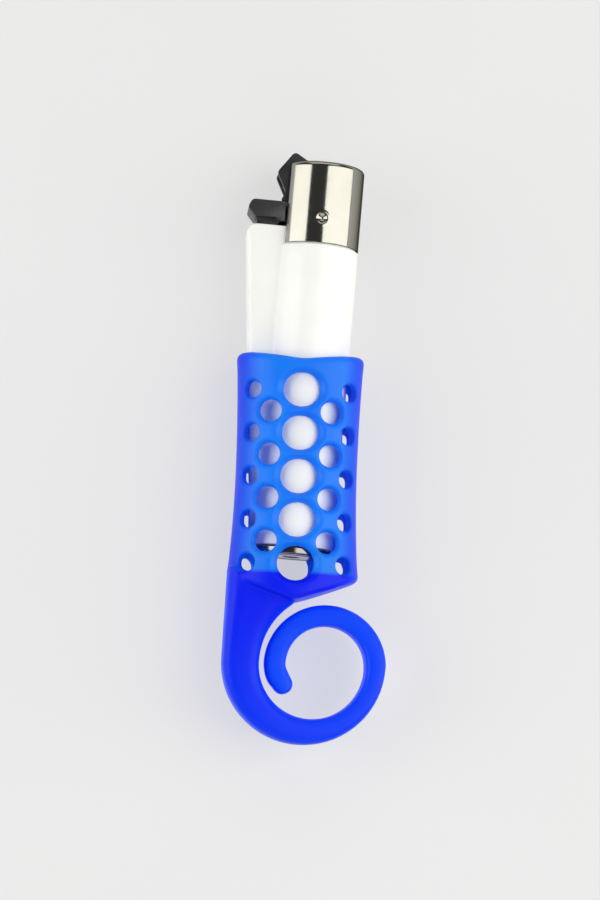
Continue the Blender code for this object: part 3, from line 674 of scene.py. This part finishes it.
def sleeve_body():
    """The tube: outer wall up from the rounded V-shaped foot to the rounded rim, then the cavity."""
    quarter_turn = [math.radians(22.5 * step) for step in range(5)]
    rings = [
        outer_ring(0, FOOT_ROUNDING * (1 - math.sin(turn)), FOOT_ROUNDING * (1 - math.cos(turn)))
        for turn in quarter_turn
    ]
    rings += [outer_ring(i / SLEEVE_LEVELS) for i in range(2, SLEEVE_LEVELS - 1)]
    rings += [
        outer_ring(1, RIM_ROUNDING * (1 - math.cos(turn)), RIM_ROUNDING * (math.sin(turn) - 1))
        for turn in quarter_turn
    ]
    rings += [cavity_ring(i / SLEEVE_LEVELS) for i in range(SLEEVE_LEVELS, -1, -1)]
    bm = bmesh.new()
    loops = add_loft(bm, rings, capped=False)
    bm.faces.new(loops[-1])
    quarter = SLEEVE_SIDES // 4
    first = loops[0]
    bm.faces.new(first[quarter:3 * quarter + 1])
    bm.faces.new(first[3 * quarter:] + first[:quarter + 1])
    return bm


def hook_edges():
    """Pairs of outer and inner edge points along the hook, from inside the foot to the tail's tip."""
    pairs = [STEM_ROOT]
    steps = 20
    for i in range(steps):
        share = i / steps
        outer = Vector(STEM_OUTER_TOP).lerp(Vector(STEM_OUTER_BOTTOM), share)
        pairs.append((outer, arc_point(STEM_INNER_CENTRE, STEM_INNER_RADIUS, 124 + 56 * share)))
    steps = 56
    for i in range(steps):
        degrees = 180 + 180 * i / steps
        outer = arc_point(CURL_OUTER_CENTRE, CURL_OUTER_RADIUS, degrees)
        pairs.append((outer, arc_point(CURL_INNER_CENTRE, CURL_INNER_RADIUS, degrees)))
    for i in range(steps + 1):
        degrees = 180 * i / steps
        outer = arc_point(TAIL_OUTER_CENTRE, TAIL_OUTER_RADIUS, degrees)
        pairs.append((outer, arc_point(TAIL_INNER_CENTRE, TAIL_INNER_RADIUS, degrees)))
    steps = 8
    leave = Vector(arc_point(TAIL_INNER_CENTRE, TAIL_INNER_RADIUS, 183))
    land = Vector(arc_point(TIP_CENTRE, TIP_RADIUS, 375))
    for i in range(1, steps + 1):
        outer = arc_point(TIP_OUTER_CENTRE, TIP_OUTER_RADIUS, 180 + 30 * i / steps)
        pairs.append((outer, leave.lerp(land, (i - 0.5) / steps)))
    for degrees in (15, 30, 45, 60, 72, 82):
        outer = arc_point(TIP_CENTRE, TIP_RADIUS, 195 + degrees)
        pairs.append((outer, arc_point(TIP_CENTRE, TIP_RADIUS, 385 - degrees)))
    return pairs


def hook_half_depth(share):
    """Half the hook's depth a share of the way from the stem to the tip."""
    place = share * (len(HOOK_HALF_DEPTHS) - 1)
    index = min(int(place), len(HOOK_HALF_DEPTHS) - 2)
    start, end = HOOK_HALF_DEPTHS[index:index + 2]
    return start + (end - start) * (place - index)


def hook():
    """The curled hook as a loft of rounded sections between its two edges."""
    edges = hook_edges()
    rings = []
    for i, (outer, inner) in enumerate(edges):
        half_depth = hook_half_depth(i / (len(edges) - 1))
        middle = Vector(outer).lerp(Vector(inner), 0.5)
        half = (Vector(outer) - Vector(inner)) / 2
        ring = []
        for across, away in superellipse(1.0, half_depth, HOOK_SQUARENESS, 44):
            ring.append((middle.x + half.x * across, away, middle.y + half.y * across))
        rings.append(ring)
    bm = bmesh.new()
    add_loft(bm, rings)
    return bm


def hole_cutter(bm, point, outward, across, wide, tall, dish):
    """Adds one elliptical cutter along outward, flaring into a shallow dish where it leaves the wall."""
    dish_wide, dish_tall, depth = dish
    stations = [(-PUNCH_INSIDE, 0.0)]
    stations += [(depth * (rise - 1), flare) for rise, flare in DISH_PROFILE]
    stations.append((PUNCH_OUTSIDE, PUNCH_FLARE))
    rings = []
    for reach, flare in stations:
        centre = point + outward * reach
        half_width = wide + (dish_wide - wide) * flare
        half_height = tall + (dish_tall - tall) * flare
        ring = []
        for x, z in circle((0, 0), 1, HOLE_SIDES):
            ring.append(centre + across * x * half_width + Vector((0, 0, z * half_height)))
        rings.append(ring)
    add_loft(bm, rings)


def hole_punches():
    """Cutters of all the holes in both faces, each through one wall."""
    bm = bmesh.new()
    for wide, tall, offset, lean, lowest, rows, *dish in HOLE_GROUPS:
        angle = math.radians(lean)
        for row in range(rows):
            height = lowest + HOLE_PITCH * row
            share = 1 - (offset / sleeve_half_width(height)) ** OUTER_SQUARENESS
            surface = SLEEVE_HALF_DEPTH * share ** (1 / OUTER_SQUARENESS)
            for side in ((1, -1) if offset else (1,)):
                for face in (1, -1):
                    outward = Vector((side * math.sin(angle), face * math.cos(angle), 0))
                    across = Vector((outward.y, -outward.x, 0))
                    point = Vector((side * offset, face * surface, height))
                    hole_cutter(bm, point, outward, across, wide, tall, dish)
    return bm


def make_sleeve():
    """Sleeve and hook as one moulding, with every edge softened by the remesh."""
    sleeve = make_object("hooked_sleeve", sleeve_body())
    foot_bore = prism(circle((0, FOOT_BORE_HEIGHT), FOOT_BORE_RADIUS), -7, 7)
    tools = [
        boolean(sleeve, hook(), "UNION"),
        boolean(sleeve, hole_punches(), "DIFFERENCE"),
        boolean(sleeve, foot_bore, "DIFFERENCE"),
    ]
    remesh = sleeve.modifiers.new("remesh", "REMESH")
    remesh.mode = "VOXEL"
    remesh.voxel_size = SLEEVE_VOXEL * 1
    soften = sleeve.modifiers.new("soften", "SMOOTH")
    soften.factor = 0.5
    soften.iterations = 6
    bake_modifiers(sleeve, tools)
    finish_piece(sleeve, IN_SLEEVE, BLUE, "holder", "sleeve_plastic", "sleeve", smooth_angle=180)


# ---- lighter ----

def rib_reach(height):
    """How far the rib's face stands from the barrel's axis."""
    if height > RIB_SHOULDER:
        share = min((height - RIB_SHOULDER) / (RIB_TOP - RIB_SHOULDER), 1)
        return RIB_SHOULDER_REACH + (RIB_TOP_REACH - RIB_SHOULDER_REACH) * share ** RIB_SHOULDER_CURVE
    share = (height - RIB_FOOT) / (RIB_SHOULDER - RIB_FOOT)
    return RIB_FOOT_REACH + (RIB_SHOULDER_REACH - RIB_FOOT_REACH) * share


def rib_distance(angle, reach, half_width, corner):
    """Distance from the barrel's axis to the rib's surface, at an angle from the middle of the rib."""
    across, away = math.cos(angle), abs(math.sin(angle))
    if across <= 0:
        return 0.0
    face = reach / across
    if face * away <= half_width - corner:
        return face
    side = half_width / away
    if side * across <= reach - corner:
        return side
    centre = Vector((reach - corner, half_width - corner))
    along = centre.dot(Vector((across, away)))
    return along + math.sqrt(max(along ** 2 - centre.length_squared + corner ** 2, 0))


def barrel_ring(height, radius, rib_inset=0.0, with_rib=True):
    """One section of the barrel with its rib, which meets it in a small fillet."""
    ring = []
    for i in range(BARREL_SIDES):
        angle = TURN * i / BARREL_SIDES
        distance = radius
        if with_rib and height >= RIB_FOOT:
            growth = min((height - RIB_FOOT) / RIB_WIDENING_HEIGHT, 1)
            rise = min((height - RIB_FOOT) / (RIB_SHOULDER - RIB_FOOT), 1)
            half_width = RIB_FOOT_HALF_WIDTH + (RIB_HALF_WIDTH - RIB_FOOT_HALF_WIDTH) * growth - rib_inset
            corner = RIB_CORNER * (0.4 + 0.6 * growth)
            rib = rib_distance(angle - math.pi, rib_reach(height) - rib_inset, half_width, corner)
            soft = RIB_FILLET_FOOT + (RIB_FILLET_SHOULDER - RIB_FILLET_FOOT) * rise
            lift = max(soft - abs(rib - radius), 0) / soft
            distance = max(rib, radius) + lift * lift * soft * RIB_FILLET_FULLNESS
        ring.append((distance * math.cos(angle), distance * math.sin(angle), height))
    return ring


def barrel_shape():
    """Barrel, rib and spigot as one loft of sections, with softened rims."""
    rings = [
        barrel_ring(BARREL_FOOT, BARREL_RADIUS - 0.25),
        barrel_ring(BARREL_FOOT + 0.1, BARREL_RADIUS - 0.08),
        barrel_ring(BARREL_FOOT + 0.3, BARREL_RADIUS),
        barrel_ring(RIB_FOOT, BARREL_RADIUS),
    ]
    steps = 30
    for i in range(1, steps + 1):
        rings.append(barrel_ring(RIB_FOOT + (BARREL_TOP - 0.3 - RIB_FOOT) * i / steps, BARREL_RADIUS))
    rings += [
        barrel_ring(BARREL_TOP - 0.1, BARREL_RADIUS - 0.04),
        barrel_ring(BARREL_TOP, BARREL_RADIUS - 0.14),
        barrel_ring(BARREL_TOP + 0.01, SPIGOT_RADIUS),
        barrel_ring(BARREL_TOP + 0.5, SPIGOT_RADIUS),
    ]
    for height in (57.4, 57.8, 58.1, 58.3, 58.6, 59.0, 59.4):
        rings.append(barrel_ring(height, SPIGOT_RADIUS))
    for rise, inset in ((-0.18, 0.02), (-0.07, 0.08), (0.0, 0.2)):
        rings.append(barrel_ring(RIB_TOP + rise, SPIGOT_RADIUS, inset))
    rings.append(barrel_ring(RIB_TOP + 0.001, SPIGOT_RADIUS, with_rib=False))
    bm = bmesh.new()
    add_loft(bm, rings)
    return bm


def bored(x, radius, bottom, top, sides=96):
    """A round cutter on a vertical axis."""
    return turned([(0, bottom), (radius, bottom), (radius, top), (0, top)], sides, (x, 0))


def make_barrel():
    """The white body with its two lugs, hollowed for gas, flint tube, valve and lever.

    Above the spigot only the rib and the lugs go on.
    """
    barrel = make_object("tank_shell", barrel_shape())
    ear = filleted([(-4.0, 58.6, 0), (-1.9, 58.6, 0), (-1.9, 62.1, 0.5), (-4.0, 62.1, 0.5)])
    ears = [prism(ear, -EAR_OUTER, -EAR_INNER), prism(ear, EAR_INNER, EAR_OUTER)]
    cuts = [
        bored(0, MOUTH_RADIUS, 0, MOUTH_TOP),
        bored(WELL_X, WELL_RADIUS, WELL_FLOOR, BORE_TOP, 64),
        bored(JET_X, VALVE_HOLE_RADIUS, RESERVOIR_TOP - 3, BORE_TOP, 48),
        bored(RESERVOIR_X, RESERVOIR_RADIUS, MOUTH_TOP - 1, RESERVOIR_TOP, 64),
        prism(rectangle(*POCKET), -POCKET_HALF_WIDTH, POCKET_HALF_WIDTH),
        prism(circle(PIVOT, TRUNNION_BORE, 32), -6.5, 6.5),
    ]
    above_spigot = prism(rectangle(RIB_INNER_END, SPIGOT_TOP, 8.0, 61.0), -8, 8)
    tools = [boolean(barrel, above_spigot, "DIFFERENCE")]
    tools += [boolean(barrel, bm, "UNION") for bm in ears]
    tools += [boolean(barrel, bm, "DIFFERENCE") for bm in cuts]
    bake_modifiers(barrel, tools)
    finish_piece(barrel, IN_LIGHTER, NYLON, "lighter", "barrel_nylon", "tank_body", smooth_angle=32)


def make_base_cap():
    """Plated cap with a ring groove in its face."""
    profile = filleted([
        (BASE_BORE, 0.0, 0.15),
        (4.6, 0.0, 0.1),
        (4.75, 0.25, 0.1),
        (5.6, 0.25, 0.1),
        (5.75, 0.0, 0.1),
        (BARREL_RADIUS, 0.0, 0.35),
        (BARREL_RADIUS, BASE_CAP_TOP, 0.12),
        (BASE_BORE, BASE_CAP_TOP, 0.12),
    ], 5)
    cap = make_object("base_cap_plated", turned(profile, 144))
    finish_piece(cap, IN_LIGHTER, DARK_CHROME, "lighter", "base_metal", "base_cap")


def dimple_depth(away):
    """Depth of the pressed dimple, with a low lip around it, at a distance given in dimple radii."""
    if away > DIMPLE_LIP_EDGE:
        return 0.0
    if away > DIMPLE_EDGE:
        share = (DIMPLE_LIP_EDGE - away) / (DIMPLE_LIP_EDGE - DIMPLE_EDGE)
        return -DIMPLE_LIP * math.sin(math.pi * share)
    return DIMPLE_DEPTH * math.cos(math.pi / 2 * away / DIMPLE_EDGE)


def make_hood():
    """Plated sheet bent into a C, with its top edge rolled in and a dimple pressed in each side."""
    roll_centre = (BARREL_RADIUS - HOOD_ROLL, HOOD_TOP - HOOD_ROLL)
    outline = []
    rise = roll_centre[1] - HOOD_BOTTOM
    steps = 84
    outline += [(BARREL_RADIUS, HOOD_BOTTOM + rise * i / steps) for i in range(steps)]
    outline += [arc_point(roll_centre, HOOD_ROLL, 90 * i / 8) for i in range(9)]
    outline.append((roll_centre[0] - 0.2, HOOD_TOP))
    half_span = math.pi - math.acos(-HOOD_CUT_X / BARREL_RADIUS)
    bm = bmesh.new()
    loops = []
    turns = 260
    for i in range(turns + 1):
        angle = -half_span + 2 * half_span * i / turns
        loop = []
        for radius, height in outline:
            beside = BARREL_RADIUS * (abs(angle) - math.pi / 2)
            away = math.hypot(beside, height - DIMPLE_Z) / DIMPLE_RADIUS
            reach = radius - dimple_depth(away)
            loop.append(bm.verts.new((reach * math.cos(angle), reach * math.sin(angle), height)))
        loops.append(loop)
    for low, high in zip(loops, loops[1:]):
        for k in range(len(outline) - 1):
            bm.faces.new((low[k], high[k], high[k + 1], low[k + 1]))
    hood = make_object("hood_sheet", bm)
    thick = hood.modifiers.new("thickness", "SOLIDIFY")
    thick.thickness = HOOD_THICKNESS
    thick.offset = -1
    add_bevel(hood, 0.07, 2, 60)
    bake_modifiers(hood)
    finish_piece(hood, IN_LIGHTER, CHROME, "lighter", "hood_chrome", "hood", smooth_angle=45)


def make_lever():
    """Grooved thumb pad over a block in the rib, two arms past the tube, and a fork at the jet."""
    pad = filleted([
        (-7.35, 61.3, 0),
        (-7.35, 64.3, 0.3),
        (-12.7, 64.3, 0.9),
        (-13.4, 62.8, 0.7),
        (-12.0, 61.2, 0.5),
    ], 8)
    lever = make_object("thumb_lever_moulding", prism(pad, -4.0, 4.0))
    pieces = [
        prism(rectangle(-11.6, 59.6, -7.85, 61.6), -2.75, 2.75),
        prism(rectangle(-1.7, 60.5, -0.5, 62.0), -3.45, 3.45),
    ]
    for sign in (-1, 1):
        shoulder = (rectangle(-8.2, 60.7, -6.6, 64.0), 2.75, 3.95)
        arm = (rectangle(-8.1, 60.75, -0.9, 61.8), 2.8, 3.4)
        finger = (rectangle(-1.0, 61.3, 3.2, 62.2), 0.95, 2.0)
        boss = (circle(PIVOT, 1.15, 32), 2.85, 4.05)
        trunnion = (circle(PIVOT, TRUNNION_RADIUS, 32), 3.9, 5.35)
        for outline, inner, outer in (shoulder, arm, finger, boss, trunnion):
            pieces.append(prism(outline, sign * inner, sign * outer))
    tools = [boolean(lever, piece, "UNION") for piece in pieces]
    for i in range(LEVER_GROOVES):
        middle = LEVER_GROOVE_START + LEVER_GROOVE_PITCH * i
        groove = filleted([(middle - 0.22, 64.7, 0), (middle, 64.05, 0.08), (middle + 0.22, 64.7, 0)], 3)
        tools.append(boolean(lever, prism(groove, -3.2, 3.2), "DIFFERENCE"))
    add_bevel(lever, 0.14, 2, 30)
    bake_modifiers(lever, tools)
    finish_piece(lever, IN_LIGHTER, BLACK, "thumb_lever", "lever_plastic", "lever")


def make_flint_holder():
    """The flint tube with the two cheeks that carry the wheel."""
    tube = turned([
        (FLINT_TUBE_BORE, FLINT_TUBE_BOTTOM), (FLINT_TUBE_RADIUS, FLINT_TUBE_BOTTOM),
        (FLINT_TUBE_RADIUS, FLINT_TUBE_TOP), (FLINT_TUBE_BORE, FLINT_TUBE_TOP),
    ], 72, (WELL_X, 0))
    holder = make_object("flint_holder_moulding", tube)
    cheek = filleted([
        (-2.6, 64.65, 0),
        (-1.7, 66.0, 0.6),
        (-1.8, 72.1, 0.6),
        (-3.4, 72.5, 1.0),
        (-5.7, 73.88, 0.8),
        (-8.6, 69.9, 0.9),
        (-6.7, 66.2, 1.4),
        (-7.6, 64.65, 0.25),
    ], 8)
    bore = prism(circle((WELL_X, WHEEL_Z), AXLE_BORE, 40), -4, 4)
    tools = [
        boolean(holder, prism(cheek, -CHEEK_OUTER, -CHEEK_INNER), "UNION"),
        boolean(holder, prism(cheek, CHEEK_INNER, CHEEK_OUTER), "UNION"),
        boolean(holder, bore, "DIFFERENCE"),
    ]
    add_bevel(holder, 0.16, 3, 30)
    bake_modifiers(holder, tools)
    finish_piece(holder, IN_LIGHTER, BLACK, "flint_system", "holder_plastic", "flint_holder")


def make_wheel():
    """Hardened wheel whose slanted teeth are cut right across it."""
    rings = []
    steps = len(WHEEL_TOOTH_RADII)
    count = steps * WHEEL_TEETH
    for share, crown in ((-1, WHEEL_CROWN), (-0.9, 0), (0, 0), (0.9, 0), (1, WHEEL_CROWN)):
        y = WHEEL_HALF_WIDTH * share
        ring = []
        for i in range(count):
            radius = WHEEL_TOOTH_RADII[i % steps] + crown
            x, z = arc_point((WELL_X, WHEEL_Z), radius, 360 * (i + y * WHEEL_SLANT) / count)
            ring.append((x, y, z))
        rings.append(ring)
    bore = []
    for y in (WHEEL_HALF_WIDTH, -WHEEL_HALF_WIDTH):
        bore.append([(x, y, z) for x, z in circle((WELL_X, WHEEL_Z), AXLE_BORE, count)])
    bm = bmesh.new()
    add_loft(bm, rings + bore, closed=True)
    wheel = make_object("knurled_wheel", bm)
    finish_piece(wheel, IN_LIGHTER, TOOL_STEEL, "wheel", "wheel_steel", "spark_wheel", smooth_angle=20)


def make_jet():
    """The brass nozzle on its valve stem, and the black collar that the lever's fork lifts."""
    nozzle = filleted([
        (0.6, 53.9, 0), (0.6, 63.7, 0.1), (0.95, 64.0, 0.1), (0.95, 65.5, 0.2), (0.5, 66.0, 0.1),
        (0.22, 66.0, 0.05), (0.22, 65.0, 0),
    ], 3)
    profile = [(0, 53.0), (1.15, 53.0), (1.15, 53.9)] + nozzle + [(0, 65.0)]
    jet = make_object("jet_nozzle", turned(profile, 64, (JET_X, 0)))
    finish_piece(jet, IN_LIGHTER, BRASS, "burner_jet", "jet_brass", "jet")
    ring = filleted([(0.8, 62.5, 0), (1.7, 62.5, 0.12), (1.7, 63.3, 0.25), (0.8, 63.4, 0)], 4)
    collar = make_object("jet_lift_collar", turned(ring, 64, (JET_X, 0)))
    finish_piece(collar, IN_LIGHTER, BLACK, "burner_jet", "collar_plastic", "jet_collar")


# ---- stage ----

def make_floor():
    """A pale floor that glows a little, so that the light from below is as even as from above."""
    bm = bmesh.new()
    bmesh.ops.create_grid(bm, x_segments=1, y_segments=1, size=3.0)
    floor = make_object("floor", bm)
    material, tree, shader = new_material("pale_floor")
    vary_colour(tree, shader, (0.24, 0.24, 0.244), (0.26, 0.26, 0.264), 6)
    shader.inputs["Roughness"].default_value = 0.8
    shader.inputs["Emission Color"].default_value = (1, 1, 1, 1)
    shader.inputs["Emission Strength"].default_value = FLOOR_GLOW
    floor.data.materials.append(material)


def add_softbox(name, right_degrees, flame_degrees, length, width, radiance):
    """A rectangular light aimed at the object from a given side, with its length along the floor."""
    right, flame = math.radians(right_degrees), math.radians(flame_degrees)
    back = Vector((math.sin(right), math.sin(flame), math.cos(right) * math.cos(flame))).normalized()
    across = Vector((0, 1, 0)) if right_degrees else Vector((1, 0, 0))
    light = bpy.data.lights.new(name, "AREA")
    light.shape = "RECTANGLE"
    light.size, light.size_y = length, width
    light.energy = radiance * math.pi * length * width
    light.color = SOFTBOX_TINT
    obj = bpy.data.objects.new(name, light)
    bpy.context.scene.collection.objects.link(obj)
    turn = Matrix((across, back.cross(across), back)).transposed().to_4x4()
    obj.matrix_world = Matrix.Translation(back * SOFTBOX_DISTANCE) @ turn


def light_scene():
    """Four softboxes around the object and a faint world."""
    world = bpy.data.worlds.new("studio")
    world.use_nodes = True
    background = world.node_tree.nodes["Background"]
    background.inputs["Color"].default_value = (0.95, 0.97, 1.0, 1)
    background.inputs["Strength"].default_value = 0.08
    bpy.context.scene.world = world
    for softbox in SOFTBOXES:
        add_softbox(*softbox)


def add_camera():
    """Camera a little left of and below the sleeve's front face, with the whole lighter in view."""
    back = Vector((-math.sin(CAMERA_LEFT), -math.sin(CAMERA_BELOW), 0))
    back.z = math.sqrt(1 - back.length_squared)
    right = Vector((-math.sin(CAMERA_ROLL), math.cos(CAMERA_ROLL), 0)).cross(back).normalized()
    up = back.cross(right)
    aim = IN_SLEEVE.translation + right * AIM_RIGHT + up * AIM_UP
    camera = bpy.data.cameras.new("camera")
    camera.lens = CAMERA_LENS
    camera.sensor_width = 36
    camera.clip_start = 0.01
    obj = bpy.data.objects.new("camera", camera)
    bpy.context.scene.collection.objects.link(obj)
    rotation = Matrix((right, up, back)).transposed().to_4x4()
    obj.matrix_world = Matrix.Translation(aim + back * CAMERA_DISTANCE) @ rotation
    bpy.context.scene.camera = obj


finish_cad_nodes()
make_sleeve()
make_barrel()
make_base_cap()
make_hood()
make_lever()
make_flint_holder()
make_wheel()
make_jet()
make_floor()
light_scene()
add_camera()
bpy.context.scene.view_settings.view_transform = "Standard"
